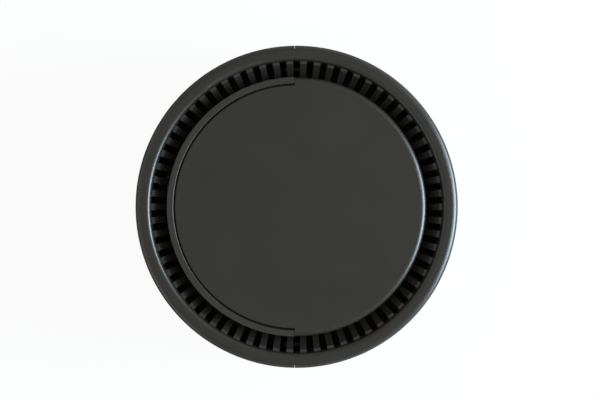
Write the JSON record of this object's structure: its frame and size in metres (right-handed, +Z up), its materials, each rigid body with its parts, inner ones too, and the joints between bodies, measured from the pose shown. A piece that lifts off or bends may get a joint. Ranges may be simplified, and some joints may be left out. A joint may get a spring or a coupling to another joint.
{
  "type": "round air filter unit",
  "caption": "Round portable air filter in two half shells: a ring of top vent slots round a plain disc, and a right half that slides out with the tray and ring cartridge.",
  "frame": {"origin": "on the table under the housing's axis", "axes": "+Z up, +X to the right of the picture, the way the drawer opens, +Y to the top of the picture"},
  "size_m": [0.096, 0.096, 0.0522],
  "materials": {
    "housing": "dark warm-grey plastic with a fine even grain",
    "disc": "dark warm-grey plastic with a fine even grain",
    "grille": "darker grey moulded plastic",
    "inner_plastic": "black moulded plastic",
    "rubber": "black rubber",
    "screw_steel": "steel with a black zinc coating",
    "magnet": "nickel-plated magnet",
    "paper": "folded off-white filter paper",
    "carbon": "open carbon foam",
    "mesh": "welded net of black plastic strands",
    "foam": "grey cell foam",
    "fan_plastic": "glass-filled grey plastic",
    "ferrite": "pressed magnet ring",
    "shaft_steel": "ground steel",
    "bronze": "oil-filled bronze",
    "lamination": "stacked steel sheet",
    "copper": "enamelled copper wire",
    "board": "circuit board under black solder mask",
    "flex": "amber flat flex",
    "battery_foil": "silver pouch foil",
    "lead": "red and black insulated wire",
    "chip": "black moulded component",
    "socket_steel": "drawn steel shell, plated in black nickel",
    "switch": "black switch body",
    "stem": "turned black acetal",
    "light": "smoked acrylic",
    "cap_compound": "soft grey cast compound",
    "button": "the housing's plastic with a finer grain"
  },
  "bodies": {
    "base": {"left_shell": "housing", "left_grille": "grille", "base_plate": "inner_plastic", "rubber_feet": "rubber", "base_screws": "screw_steel", "fan_deck": "inner_plastic", "deck_screws": "screw_steel", "fan_guard": "inner_plastic", "bearing_bush": "bronze", "stator_core": "lamination", "stator_coils": "copper", "motor_board": "board", "motor_flex": "flex", "bay_cup": "inner_plastic", "bay_screws": "screw_steel", "bay_lid": "inner_plastic", "battery": "battery_foil", "battery_pad": "foam", "battery_leads": "lead", "control_board": "board", "board_parts": "chip", "board_screws": "screw_steel", "charge_socket": "socket_steel", "push_switch": "switch", "status_light": "chip", "light_pipe": "light", "left_magnets": "magnet"},
    "drawer": {"right_shell": "housing", "right_grille": "grille", "cover_disc": "disc", "filter_tray": "inner_plastic", "tray_screws": "screw_steel", "cover_screws": "screw_steel", "lower_cap": "cap_compound", "upper_cap": "cap_compound", "pleated_paper": "paper", "carbon_sleeve": "carbon", "outer_mesh": "mesh", "foam_seal": "foam", "right_magnets": "magnet"},
    "rotor": {"impeller": "fan_plastic", "ring_magnet": "ferrite", "motor_shaft": "shaft_steel", "shaft_clip": "shaft_steel"},
    "button": {"power_button": "button", "switch_stem": "stem"}
  },
  "joints": [
    {"name": "drawer_slide", "type": "slide", "parent": "base", "child": "drawer", "axis": [1, 0, 0], "range_m": [0, 0.095]},
    {"name": "rotor_spin", "type": "hinge", "parent": "base", "child": "rotor", "pos_m": [0, 0, 0.034], "axis": [0, 0, 1], "continuous": true},
    {"name": "button_press", "type": "slide", "parent": "base", "child": "button", "axis": [1, 0, 0], "range_m": [0, 0.0006], "stiffness_N_per_m": 800}
  ]
}
